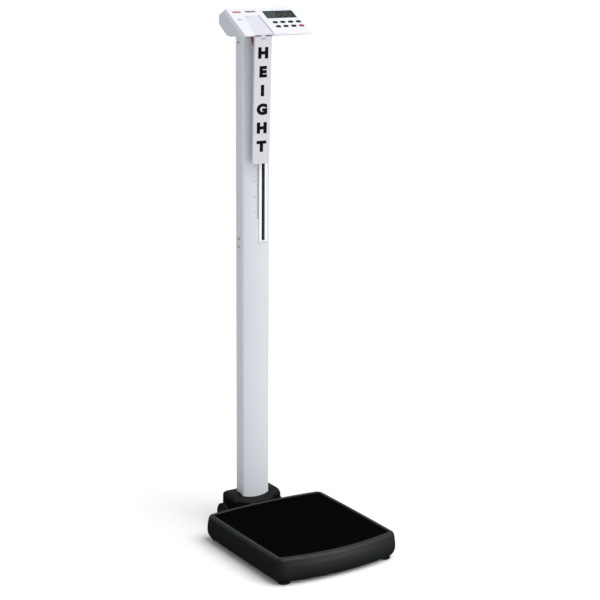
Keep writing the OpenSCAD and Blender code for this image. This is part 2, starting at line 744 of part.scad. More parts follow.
// Pointer on the rod: a chisel that runs inside the slot, with its edge towards the scale
module height_pointer() color([0.15, 0.16, 0.17]) translate([slot_x, 0, pointer_z]) linear_extrude(3, center = true)
  polygon([
    [4, rod_y], [-2, rod_y], [-2, column_front - 6], [-slot_w / 2 + 0.7, column_front - 10],
    [4, column_front - 10]
  ]);

// ---------- headpiece ----------

module headpiece_place() translate([0, pin_y, pin_z]) rotate([headpiece_lean, 0, 0]) children();

module headpiece() color([0.9, 0.9, 0.92]) headpiece_place() difference() {
  union() {
    translate([0, headpiece_t - knuckle_r, 0]) rotate([90, 0, 0]) linear_extrude(headpiece_t) hull() {
      translate([-headpiece_w / 2, -10]) square([headpiece_w, 10]);
      for (s = [-1, 1]) translate([s * (headpiece_w / 2 - headpiece_r), headpiece_r + knuckle_r - headpiece_l])
        circle(r = headpiece_r);
    }
    rotate([0, 90, 0]) cylinder(h = headpiece_w, r = knuckle_r, center = true);
  }
  block([-ear_w / 2 - gap, -10, -knuckle_r - 0.6], [ear_w / 2 + gap, 10, 10]);
  block([-headpiece_w / 2 + 4, -knuckle_r + 2.5, knuckle_r + headpiece_r - headpiece_l],
    [headpiece_w / 2 - 4, 10, -16]);
  rotate([0, 90, 0]) cylinder(h = 100, r = pin_r + 0.05, center = true);
}

module headpiece_pin() color("silver") headpiece_place() rotate([0, 90, 0])
  cylinder(h = headpiece_w, r = pin_r, center = true, $fn = 32);

module headpiece_bumper() color([0.05, 0.05, 0.05]) headpiece_place()
  translate([bumper_x, -knuckle_r + 2.5, 25 - headpiece_l]) rotate([-90, 0, 0]) cylinder(h = 16, r = 9);

base_frame();
base_deck();
platform_cover();
platform_mat();
load_cell([-1, -1]);  // load_cell_front_left
load_cell([1, -1]);  // load_cell_front_right
load_cell([-1, 1]);  // load_cell_rear_left
load_cell([1, 1]);  // load_cell_rear_right
foot([-1, -1]);  // foot_front_left
foot([1, -1]);  // foot_front_right
foot([-1, 1]);  // foot_rear_left
foot([1, 1]);  // foot_rear_right
load_cell_bolts();
load_cell_leads();
junction_board();
wheel_axle();
axle_clips();
wheel_hub(-1);  // wheel_hub_left
wheel_tyre(-1);  // wheel_tyre_left
wheel_hub(1);  // wheel_hub_right
wheel_tyre(1);  // wheel_tyre_right
column_socket();
column_foot();
column_foot_bolts();
lower_column();
column_splice();
upper_column();
track_insert();
column_screws();
rod_bush();
signal_cable();
head_front();
head_rear();
head_bracket();
head_screws();
lcd_window();
lcd_module();
main_board();
key_switches();
battery_holder();
batteries();
battery_door();
dc_jack();
dark_key(0, 0);  // key_units
dark_key(1, 0);  // key_hold
dark_key(2, 0);  // key_net
dark_key(3, 0);  // key_index
dark_key(0, 1);  // key_print
dark_key(1, 1);  // key_tare
dark_key(2, 1);  // key_zero
color([0.65, 0.06, 0.1]) key(3, 1);  // key_power
height_rod();
rod_glide();
rod_cap();
hinge_bracket();
height_pointer();
headpiece();
headpiece_pin();
headpiece_bumper();
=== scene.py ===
"""Column scale: builds the visible surfaces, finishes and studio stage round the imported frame.

Run it as a script. Lengths are metres in the frame's own axes: +Z up, -Y towards the person who
faces the display, origin on the floor under the middle of the outline.
"""

import json
import math

import bmesh
import bpy
import numpy as np
from bpy.props import FloatProperty, FloatVectorProperty, PointerProperty, StringProperty
from mathutils import Matrix, Vector


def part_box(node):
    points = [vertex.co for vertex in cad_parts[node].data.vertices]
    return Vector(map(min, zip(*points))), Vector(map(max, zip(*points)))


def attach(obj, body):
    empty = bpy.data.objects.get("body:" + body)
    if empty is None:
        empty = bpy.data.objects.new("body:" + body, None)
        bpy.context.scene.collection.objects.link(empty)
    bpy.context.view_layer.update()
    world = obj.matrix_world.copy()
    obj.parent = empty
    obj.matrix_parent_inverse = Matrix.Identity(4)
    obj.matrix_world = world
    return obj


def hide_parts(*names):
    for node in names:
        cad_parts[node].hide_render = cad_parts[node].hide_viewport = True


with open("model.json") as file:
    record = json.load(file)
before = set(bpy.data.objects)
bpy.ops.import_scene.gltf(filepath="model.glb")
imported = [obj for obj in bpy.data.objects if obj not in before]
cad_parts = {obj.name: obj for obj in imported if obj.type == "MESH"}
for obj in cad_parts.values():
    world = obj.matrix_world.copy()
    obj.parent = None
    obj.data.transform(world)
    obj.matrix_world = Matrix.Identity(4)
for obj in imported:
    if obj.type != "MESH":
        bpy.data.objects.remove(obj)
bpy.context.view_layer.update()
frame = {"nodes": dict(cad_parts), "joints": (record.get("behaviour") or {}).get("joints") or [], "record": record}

bl_info = {
    "name": "Column Scale",
    "version": (1, 0, 0),
    "blender": (4, 5, 0),
    "location": "View3D > Sidebar > Column Scale",
    "description": "Surfaces and finishes of a column scale with a height rod",
    "category": "Add Mesh",
}

MM = 0.001


def box(node):
    """Lowest and highest corner of a frame node, as arrays."""
    low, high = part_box(node)
    return np.array(low), np.array(high)


MAT_LOW, MAT_HIGH = box("platform_mat")
COVER_LOW, COVER_HIGH = box("platform_cover")
LOWER_LOW, LOWER_HIGH = box("lower_column")
UPPER_LOW, UPPER_HIGH = box("upper_column")
TRACK_LOW, TRACK_HIGH = box("track_insert")
WINDOW_LOW, WINDOW_HIGH = box("lcd_window")
POINTER_LOW, POINTER_HIGH = box("height_pointer")
KEYS = ["units", "hold", "net", "index", "print", "tare", "zero", "power"]
UPRIGHT = Matrix.Rotation(math.pi / 2, 4, "X")


def frame_joint(name):
    """The frame's row of a joint."""
    return next(joint for joint in frame["joints"] if joint["name"] == name)


HINGE = frame_joint("headpiece_hinge")


def colour(name, rgb):
    """A colour property."""
    return FloatVectorProperty(
        name=name, description=f"Colour of the {name.lower()}", subtype="COLOR", size=3,
        min=0, max=1, default=rgb,
    )


def length(name, description, metres):
    """A length property in metres."""
    return FloatProperty(name=name, description=description, default=metres, unit="LENGTH")


class ColumnScaleSizes(bpy.types.PropertyGroup):
    """Sizes that the frame doesn't state."""

    edge_bow: length("Front bow", "How far the platform's front edge bows out", 0.027)
    back_bow: length("Back bow", "How far the platform's back edge bows out", 0.015)
    side_bow: length("Side bow", "How far the platform's side edges bow out", 0.002)
    corner: length("Platform corner", "Corner radius of the platform", 0.026)
    rim: length("Rim", "Width of the rim round the mat", 0.022)
    column_bow: length("Column bow", "How far the column's front bows out", 0.009)
    column_corner: length("Column corner", "Corner radius of the column", 0.006)
    column_wall: length("Column wall", "Wall of the column", 0.0022)
    letter: length("Letter height", "Height of a letter on the headpiece", 0.031)
    digit: length("Digit height", "Height of a digit on the display", 0.027)
    tick: length("Tick", "Length of a whole centimetre's tick", 0.0085)
    face_tilt: FloatProperty(
        name="Face tilt", description="Tilt of the display face from level",
        default=math.radians(31), subtype="ANGLE",
    )


class ColumnScaleColours(bpy.types.PropertyGroup):
    """Colours of the finishes."""

    mat: colour("Mat", (0.0020, 0.0021, 0.0021))
    cover: colour("Cover", (0.0086, 0.0110, 0.0101))
    column: colour("Column", (0.655, 0.672, 0.715))
    shell: colour("Shell", (0.74, 0.75, 0.80))
    # Rear shell: the shell's pale plastic darkened to a bluish grey, painted shade on the head's ends.
    rear_shell: colour("Rear shell", (0.62, 0.65, 0.70))
    # Red of the bracket, darkened by painted shade: the head's shadow is painted into this red.
    red: colour("Red parts", (0.16, 0.006, 0.016))
    key: colour("Keys", (0.004, 0.005, 0.006))
    display: colour("Display", (0.018, 0.040, 0.029))
    ink: colour("Ink", (0.003, 0.003, 0.004))
    rod: colour("Rod", (0.045, 0.050, 0.052))


# ---------------------------------------------------------------- meshes


def rounded_outline(width, depth, radius, arc=12, straight=32):
    """Points of a rounded rectangle, counter-clockwise, from the right side at the back corner.

    Each corner is centre + radius * (cos, sin) over a quarter turn, and each straight is the
    line between the end of one corner and the start of the next.
    """
    turn = np.arange(4) * math.pi / 2
    sign = np.array([[1, 1], [-1, 1], [-1, -1], [1, -1]])
    centre = sign * [width / 2 - radius, depth / 2 - radius]
    angle = turn[:, None] + np.linspace(0, math.pi / 2, arc + 1)[None, :]
    corner = centre[:, None, :] + radius * np.stack([np.cos(angle), np.sin(angle)], axis=2)
    start, end = corner[:, -1], np.roll(corner[:, 0], -1, axis=0)
    share = np.linspace(0, 1, straight + 1)[1:-1][None, :, None]
    line = start[:, None] * (1 - share) + end[:, None] * share
    return np.concatenate([corner, line], axis=1).reshape(-1, 2)


def platform_outline(inset, sizes):
    """The platform's outline drawn in: a rounded rectangle whose points move out by a parabola
    across each edge, greatest at the edge's middle and nothing at its corners."""
    front, back = COVER_LOW[1] + sizes.edge_bow, COVER_HIGH[1] - sizes.back_bow
    centre_y = (front + back) / 2
    half_x = (COVER_HIGH[0] - COVER_LOW[0]) / 2 - sizes.side_bow - inset
    half_y = (back - front) / 2 - inset
    x, y = rounded_outline(2 * half_x, 2 * half_y, max(sizes.corner - inset, 0.002), 14, 40).T
    bowed_x = x + sizes.side_bow * x / half_x * (1 - (y / half_y) ** 2)
    bow = np.where(y < 0, sizes.edge_bow, sizes.back_bow)
    bowed_y = y + bow * y / half_y * (1 - (x / half_x) ** 2)
    return np.stack([bowed_x, bowed_y + centre_y], axis=1)


def platform_rings(profile, sizes):
    """The platform's outline drawn in and lifted by each (inset, height) of a profile."""
    outlines = [platform_outline(inset, sizes) for inset, _ in profile]
    return np.stack([
        np.column_stack([outline, np.full(len(outline), height)])
        for outline, (_, height) in zip(outlines, profile)
    ])


def column_outline(inset, sizes):
    """The column's outline drawn in: a rounded rectangle whose front bows out by a parabola."""
    half_x = (UPPER_HIGH[0] - UPPER_LOW[0]) / 2 - inset
    back = UPPER_HIGH[1]
    half_y = (back - LOWER_LOW[1] - sizes.column_bow) / 2 - inset
    middle = back - half_y - inset
    x, y = rounded_outline(2 * half_x, 2 * half_y, max(sizes.column_corner - inset, 0.001), 8, 48).T
    bow = np.where(y < 0, sizes.column_bow * y / half_y * (1 - (x / half_x) ** 2), 0)
    return np.stack([x, y + bow + middle], axis=1)


def column_front(x, sizes):
    """Y of the column's front at x."""
    half_x = (UPPER_HIGH[0] - UPPER_LOW[0]) / 2
    return LOWER_LOW[1] + sizes.column_bow * (x / half_x) ** 2


def grid_faces(rows, columns, closed=True):
    """Quads of a grid of points, row after row; closed joins the last column to the first."""
    i, j = np.meshgrid(np.arange(rows - 1), np.arange(columns - (not closed)), indexing="ij")
    k = (j + 1) % columns
    quads = np.stack([i * columns + j, i * columns + k, (i + 1) * columns + k, (i + 1) * columns + j], 2)
    return quads.reshape(-1, 4)


def add_piece(name, mesh, body, material, nodes=()):
    """Links a mesh as a piece that rides on a body and stands for frame nodes."""
    mesh.name = name
    piece = bpy.data.objects.new(name, mesh)
    bpy.context.collection.objects.link(piece)
    mesh.materials.clear()
    mesh.materials.append(material)
    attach(piece, body)
    if nodes:
        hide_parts(*nodes)
    return piece


def mesh_from(points, faces, sharp=35):
    """A mesh with outward faces, smooth but for edges sharper than an angle in degrees."""
    mesh = bpy.data.meshes.new("surface")
    mesh.from_pydata(points.tolist(), [], faces if isinstance(faces, list) else faces.tolist())
    work = bmesh.new()
    work.from_mesh(mesh)
    bmesh.ops.remove_doubles(work, verts=work.verts, dist=1e-7)
    bmesh.ops.recalc_face_normals(work, faces=work.faces)
    work.to_mesh(mesh)
    work.free()
    mesh.shade_smooth()
    mesh.set_sharp_from_angle(angle=math.radians(sharp))
    return mesh


def rings_mesh(rings, sharp=35):
    """Skin through closed rings of equal count, with a fan to a middle point at each end."""
    rows, columns = rings.shape[:2]
    ends = np.stack([rings[0].mean(axis=0), rings[-1].mean(axis=0)])
    points = np.concatenate([rings.reshape(-1, 3), ends])
    j = np.arange(columns)
    k = (j + 1) % columns
    base = (rows - 1) * columns
    first = np.stack([np.full(columns, rows * columns), k, j], axis=1)
    last = np.stack([np.full(columns, rows * columns + 1), base + j, base + k], axis=1)
    faces = grid_faces(rows, columns).tolist() + first.tolist() + last.tolist()
    return mesh_from(points, faces, sharp)


def solid_boxes(centres, sizes):
    """One mesh of upright boxes: each centre plus and minus half of its size."""
    corner = np.array([[-1, -1, -1], [1, -1, -1], [1, 1, -1], [-1, 1, -1],
                       [-1, -1, 1], [1, -1, 1], [1, 1, 1], [-1, 1, 1]]) / 2
    quad = np.array([[0, 3, 2, 1], [4, 5, 6, 7], [0, 1, 5, 4], [1, 2, 6, 5], [2, 3, 7, 6], [3, 0, 4, 7]])
    points = centres[:, None, :] + corner[None, :, :] * sizes[:, None, :]
    faces = quad[None, :, :] + 8 * np.arange(len(centres))[:, None, None]
    return mesh_from(points.reshape(-1, 3), faces.reshape(-1, 4))


def soften(piece, width, segments=3, angle=40):
    """Rounds a piece's sharp edges and keeps its flats flat in the light."""
    bevel = piece.modifiers.new("Edges", "BEVEL")
    bevel.width = width
    bevel.segments = segments
    bevel.limit_method = "ANGLE"
    bevel.angle_limit = math.radians(angle)
    bevel.miter_outer = "MITER_ARC"
    normals = piece.modifiers.new("Flats", "WEIGHTED_NORMAL")
    normals.keep_sharp = False
    return piece


def softened_node(node, name, body, material, width, segments=3, angle=40):
    """A copy of a frame node with merged flats and rounded edges, in that node's place."""
    mesh = frame["nodes"][node].data.copy()
    if "custom_normal" in mesh.attributes:
        mesh.attributes.remove(mesh.attributes["custom_normal"])
    work = bmesh.new()
    work.from_mesh(mesh)
    bmesh.ops.remove_doubles(work, verts=work.verts, dist=2e-6)
    bmesh.ops.dissolve_limit(work, angle_limit=math.radians(0.6), verts=work.verts, edges=work.edges)
    work.to_mesh(mesh)
    work.free()
    mesh.shade_smooth()
    mesh.set_sharp_from_angle(angle=math.radians(angle))
    piece = add_piece(name, mesh, body, material, [node])
    return soften(piece, width, segments, angle)


def lettering(text, size, place, depth=0.2 * MM, weight=0.0):
    """Mesh of generic text: flat letters with a depth, fattened by a weight, moved by place."""
    curve = bpy.data.curves.new("letters", "FONT")
    curve.body = text
    curve.size = size
    curve.extrude = depth / 2
    curve.offset = weight
    curve.align_x = "CENTER"
    curve.align_y = "CENTER"
    holder = bpy.data.objects.new("letters", curve)
    bpy.context.collection.objects.link(holder)
    graph = bpy.context.evaluated_depsgraph_get()
    mesh = bpy.data.meshes.new_from_object(holder.evaluated_get(graph))
    bpy.data.objects.remove(holder)
    mesh.transform(place)
    return mesh


def joined(meshes):
    """One mesh made of several."""
    work = bmesh.new()
    for mesh in meshes:
        work.from_mesh(mesh)
    out = bpy.data.meshes.new("joined")
    work.to_mesh(out)
    work.free()
    return out


def face_place(x, down, out, sizes):
    """Matrix of a spot on the display face: its X along the face, its Y up the slope, its Z out.

    down is measured from the window's middle towards the lip, out from the face.
    """
    tilt = sizes.face_tilt
    middle = (WINDOW_LOW + WINDOW_HIGH) / 2
    normal = np.array([0, -math.sin(tilt), math.cos(tilt)])
    slope = np.array([0, -math.cos(tilt), -math.sin(tilt)])
    spot = np.array([x, middle[1], middle[2]]) + normal * (out + 1.2 * MM) + slope * down
    return Matrix.Translation(Vector(spot)) @ Matrix.Rotation(tilt, 4, "X")


# ---------------------------------------------------------------- finishes


def new_group(name, inputs, outputs):
    """An empty node group with float or colour sockets, and its two end nodes."""
    group = bpy.data.node_groups.new(name, "ShaderNodeTree")
    for label, kind, value in inputs:
        socket = group.interface.new_socket(label, in_out="INPUT", socket_type=kind)
        socket.default_value = value
    for label, kind in outputs:
        group.interface.new_socket(label, in_out="OUTPUT", socket_type=kind)
    return group, group.nodes.new("NodeGroupInput"), group.nodes.new("NodeGroupOutput")


def noise(tree, vector, scale, detail=2.0):
    """A noise texture at a scale in repeats per metre, given as a number or a socket."""
    node = tree.nodes.new("ShaderNodeTexNoise")
    node.inputs["Detail"].default_value = detail
    tree.links.new(vector, node.inputs["Vector"])
    if isinstance(scale, (int, float)):
        node.inputs["Scale"].default_value = scale
    else:
        tree.links.new(scale, node.inputs["Scale"])
    return node.outputs["Fac"]


def maths(tree, operation, *values):
    """A Math node over numbers and sockets."""
    node = tree.nodes.new("ShaderNodeMath")
    node.operation = operation
    for socket, value in zip(node.inputs, values):
        if isinstance(value, (int, float)):
            socket.default_value = value
        else:
            tree.links.new(value, socket)
    return node.outputs[0]


def handling_group():
    """Slow blotches and fine specks: varies a colour and a roughness over the surface."""
    group, start, end = new_group(
        "Handling",
        [("Color", "NodeSocketColor", (0.5, 0.5, 0.5, 1)), ("Variation", "NodeSocketFloat", 0.06),
         ("Roughness", "NodeSocketFloat", 0.5), ("Spread", "NodeSocketFloat", 0.08)],
        [("Color", "NodeSocketColor"), ("Roughness", "NodeSocketFloat")],
    )
    place = group.nodes.new("ShaderNodeTexCoord").outputs["Object"]
    slow = maths(group, "SUBTRACT", noise(group, place, 9.0, 3.0), 0.5)
    fine = maths(group, "SUBTRACT", noise(group, place, 420.0, 2.0), 0.5)
    both = maths(group, "MULTIPLY_ADD", fine, 0.5, slow)
    value = maths(group, "MULTIPLY_ADD", both, start.outputs["Variation"], 1.0)
    shade = group.nodes.new("ShaderNodeHueSaturation")
    group.links.new(value, shade.inputs["Value"])
    group.links.new(start.outputs["Color"], shade.inputs["Color"])
    group.links.new(shade.outputs["Color"], end.inputs["Color"])
    rough = maths(group, "MULTIPLY_ADD", both, start.outputs["Spread"], start.outputs["Roughness"])
    group.links.new(rough, end.inputs["Roughness"])
    return group


def grain_group():
    """Height of a moulded or sprayed skin: small rounded bumps over a slower swell."""
    group, start, end = new_group(
        "Skin",
        [("Scale", "NodeSocketFloat", 900.0), ("Swell", "NodeSocketFloat", 0.3)],
        [("Height", "NodeSocketFloat")],
    )
    place = group.nodes.new("ShaderNodeTexCoord").outputs["Object"]
    small = noise(group, place, start.outputs["Scale"], 1.0)
    slow = noise(group, place, maths(group, "MULTIPLY", start.outputs["Scale"], 0.16), 1.0)
    height = maths(group, "MULTIPLY_ADD", slow, start.outputs["Swell"], small)
    group.links.new(height, end.inputs["Height"])
    return group


def rib_group():
    """Height of a ribbed mat: round ribs that run front to back, crossed by short breaks."""
    group, start, end = new_group(
        "Ribs", [("Pitch", "NodeSocketFloat", 0.005)], [("Height", "NodeSocketFloat")]
    )
    place = group.nodes.new("ShaderNodeTexCoord").outputs["Object"]
    split = group.nodes.new("ShaderNodeSeparateXYZ")
    group.links.new(place, split.inputs[0])
    turns = maths(group, "DIVIDE", split.outputs["X"], start.outputs["Pitch"])
    wave = maths(group, "COSINE", maths(group, "MULTIPLY", turns, 2 * math.pi))
    height = maths(group, "MULTIPLY_ADD", wave, 0.5, 0.5)
    group.links.new(maths(group, "POWER", height, 0.6), end.inputs["Height"])
    return group


def brushed_group():
    """Height of drawn or brushed metal: noise stretched along one axis."""
    group, start, end = new_group(
        "Brushed", [("Scale", "NodeSocketFloat", 900.0)], [("Height", "NodeSocketFloat")]
    )
    place = group.nodes.new("ShaderNodeTexCoord").outputs["Object"]
    stretch = group.nodes.new("ShaderNodeMapping")
    stretch.inputs["Scale"].default_value = (1.0, 1.0, 0.02)
    group.links.new(place, stretch.inputs["Vector"])
    group.links.new(noise(group, stretch.outputs[0], start.outputs["Scale"], 3.0), end.inputs["Height"])
    return group


GROUPS = {}


def group_node(tree, name):
    """Places a shared group in a material."""
    makers = {"Handling": handling_group, "Skin": grain_group, "Ribs": rib_group, "Brushed": brushed_group}
    if name not in GROUPS:
        GROUPS[name] = makers[name]()
    node = tree.nodes.new("ShaderNodeGroup")
    node.node_tree = GROUPS[name]
    return node


def finish(name, rgb, roughness, relief="Skin", scale=900.0, depth=0.05 * MM, variation=0.06,
           spread=0.08, metallic=0.0, coat=0.0, specular=0.5):
    """A Principled finish with handling marks and a relief."""
    if name in bpy.data.materials:
        return bpy.data.materials[name]
    material = bpy.data.materials.new(name)
    material.use_nodes = True
    tree = material.node_tree
    shader = tree.nodes["Principled BSDF"]
    shader.inputs["Metallic"].default_value = metallic
    shader.inputs["Specular IOR Level"].default_value = specular
    shader.inputs["Coat Weight"].default_value = coat
    shader.inputs["Coat Roughness"].default_value = 0.12
    marks = group_node(tree, "Handling")
    marks.inputs["Color"].default_value = (*rgb, 1)
    marks.inputs["Variation"].default_value = variation
    marks.inputs["Roughness"].default_value = roughness
    marks.inputs["Spread"].default_value = spread
    tree.links.new(marks.outputs["Color"], shader.inputs["Base Color"])
    tree.links.new(marks.outputs["Roughness"], shader.inputs["Roughness"])
    skin = group_node(tree, relief)
    if "Scale" in skin.inputs:
        skin.inputs["Scale"].default_value = scale
    bump = tree.nodes.new("ShaderNodeBump")
    bump.inputs["Distance"].default_value = depth
    tree.links.new(skin.outputs["Height"], bump.inputs["Height"])
    tree.links.new(bump.outputs["Normal"], shader.inputs["Normal"])
    material.diffuse_color = (*rgb, 1)
    return material


def slot_finish(slot):
    """The finish of a material slot of the record."""
    c = bpy.context.scene.column_scale_colours
    steel, zinc = (0.10, 0.105, 0.11), (0.62, 0.63, 0.64)
    table = {
        "frame_steel": lambda: finish("Black coated steel", (0.03, 0.032, 0.034), 0.5),
        "deck_steel": lambda: finish("Zinc sheet", zinc, 0.38, "Brushed", metallic=1.0),
        "cover_plastic": lambda: finish("Cover plastic", c.cover, 0.42, scale=1300, depth=0.09 * MM,
                                        variation=0.15, specular=0.25),
        "mat_rubber": lambda: finish("Mat rubber", c.mat, 0.9, "Ribs", depth=0.35 * MM, specular=0.0),
        "cell_aluminium": lambda: finish("Machined aluminium", (0.72, 0.73, 0.75), 0.3, "Brushed",
                                         metallic=1.0),
        "foot_rubber": lambda: finish("Foot rubber", (0.006, 0.006, 0.006), 0.75, scale=700, specular=0.2),
        "zinc_steel": lambda: finish("Zinc plated steel", zinc, 0.3, "Brushed", scale=1500, metallic=1.0),
        "cable_jacket": lambda: finish("Cable jacket", (0.02, 0.02, 0.02), 0.5),
        "circuit_board": lambda: finish("Solder mask", (0.01, 0.09, 0.03), 0.35, scale=2200),
        "hub_plastic": lambda: finish("Hub plastic", (0.012, 0.013, 0.014), 0.45, specular=0.3),
        # Near-black oxide finish; its darkness also stands in for the shade at the wheel's end, partly painted
        # shade.
        "axle_steel": lambda: finish("Black oxide and painted shade", (0.02, 0.02, 0.021), 0.4, "Brushed", metallic=0.6),
        "column_coat": lambda: finish("Powder coat", c.column, 0.42, scale=650, depth=0.06 * MM,
                                      variation=0.03, spread=0.05),
        "track_plastic": lambda: finish("Track plastic", (0.86, 0.87, 0.88), 0.4, variation=0.02),
        "glide_plastic": lambda: finish("Nylon", (0.75, 0.73, 0.66), 0.5),
        "head_plastic": lambda: finish("White shell", c.shell, 0.4, scale=1500, depth=0.04 * MM,
                                       variation=0.02, spread=0.04),
        # Same plastic as the white shell, darkened by painted shade on the rear shell and end caps.
        "head_rear_plastic": lambda: finish("Rear shell painted shade", c.rear_shell, 0.42, scale=1500,
                                            depth=0.04 * MM, variation=0.02, spread=0.04),
        "lcd_clear": lambda: finish("Display window", c.display, 0.22, variation=0.03, depth=0.0,
                                    coat=0.25),
        "lcd_panel": lambda: finish("Display module", (0.10, 0.15, 0.12), 0.4),
        "black_plastic": lambda: finish("Black plastic", (0.012, 0.012, 0.013), 0.45),
        "battery_metal": lambda: finish("Cell wrap", (0.30, 0.19, 0.05), 0.3, metallic=0.4),
        "key_dark": lambda: finish("Dark key", c.key, 0.45, scale=1800, depth=0.03 * MM, specular=0.1),
        "key_red": lambda: finish("Red key", (0.34, 0.020, 0.038), 0.4, scale=1800, depth=0.03 * MM,
                                  specular=0.25),
        "rod_aluminium": lambda: finish("Dark anodised", c.rod, 0.35, "Brushed", metallic=0.8),
        # The cap's grey is darker than the shell: painted shade of the recessed channel over the rod.
        "cap_plastic": lambda: finish("Cap plastic painted shade", (0.64, 0.64, 0.71), 0.4, scale=1500, depth=0.04 * MM,
                                      variation=0.02, spread=0.04),
        # The bracket's own red plus painted shade from the head above it.
        "bracket_red": lambda: finish("Red paint and painted shade", c.red, 0.35, variation=0.1, coat=0.3),
        "headpiece_plastic": lambda: finish("Headpiece plastic", (0.62, 0.62, 0.66), 0.42, scale=1500,
                                            depth=0.04 * MM, variation=0.02, spread=0.04),
    }
    return table[slot]()


def ink_finish():
    """Printed ink."""
    ink = bpy.context.scene.column_scale_colours.ink
    return finish("Ink", ink, 0.55, scale=2500, depth=0.01 * MM, specular=0.08)


# ---------------------------------------------------------------- pieces


class COLUMNSCALE_OT_platform(bpy.types.Operator):
    """Cover with a bowed wall and a rounded rim, and the mat in its recess"""

    bl_idname = "column_scale.platform"
    bl_label = "Platform"

    def cover_profile(self, sizes):
        """(inset, height) from the underside's middle round to the recess's middle.

        The wall goes in by a power of the way down and of the way up from its widest line, and
        runs over into the rim's flat by a quarter ellipse; a small round leads down to the mat.
        """
        low, top, floor = COVER_LOW[2], COVER_HIGH[2], MAT_LOW[2]
        wide = low + 0.42 * (top - low)
        tuck, lean = 14 * MM, 4.2 * MM
        inner = np.array([[19, floor - 3 * MM], [17, low + 1 * MM]]) * [MM, 1]
        foot = np.array([[16.6, low], [14.6, low]]) * [MM, 1]
        below = np.linspace(1, 0, 14)
        wall_low = np.stack([tuck * below**2.4, wide - (wide - low - 0.3 * MM) * below], axis=1)
        above = np.linspace(0, 1, 12)[1:]
        rim_depth, rim_height, edge_radius = 10 * MM, 12 * MM, 1.3 * MM
        shoulder = top - rim_height
        wall_up = np.stack([lean * above**2, wide + (shoulder - wide) * above], axis=1)
        a = np.radians(np.linspace(180, 90, 11)[1:])
        rim_inset = lean + rim_depth + rim_depth * np.cos(a)
        rim = np.stack([rim_inset, shoulder + rim_height * np.sin(a)], axis=1)
        b = np.radians(np.linspace(90, 0, 6))
        edge_inset = sizes.rim - edge_radius + edge_radius * np.cos(b)
        edge = np.stack([edge_inset, top - edge_radius + edge_radius * np.sin(b)], axis=1)
        recess = np.array([[sizes.rim, floor]])
        return np.concatenate([inner, foot, wall_low, wall_up, rim, edge, recess])

    def mat_profile(self, sizes):
        """(inset, height) of the mat: a wall, then a quarter round up to its top."""
        margin, radius = sizes.rim + 0.4 * MM, 0.8 * MM
        low, top = MAT_LOW[2] + 0.05 * MM, MAT_HIGH[2]
        a = np.radians(np.linspace(180, 90, 5))
        inset = margin + radius + radius * np.cos(a)
        height = top - radius + radius * np.sin(a)
        return np.concatenate([[[margin, low]], np.stack([inset, height], axis=1)])

    def execute(self, context):
        sizes = context.scene.column_scale_sizes
        add_piece("cover_shell", rings_mesh(platform_rings(self.cover_profile(sizes), sizes)), "base",
                  slot_finish("cover_plastic"), ["platform_cover"])
        add_piece("standing_mat", rings_mesh(platform_rings(self.mat_profile(sizes), sizes)), "base",
                  slot_finish("mat_rubber"), ["platform_mat"])
        return {"FINISHED"}


class COLUMNSCALE_OT_socket(bpy.types.Operator):
    """Shroud round the foot of the column"""

    bl_idname = "column_scale.socket"
    bl_label = "Socket"

    def execute(self, context):
        dark = finish("Socket plastic", (0.0034, 0.0040, 0.0038), 0.5, scale=1300, depth=0.09 * MM,
                      variation=0.15, specular=0.12)
        softened_node("column_socket", "socket_shroud", "base", dark, 4 * MM, 5, angle=28)
        return {"FINISHED"}


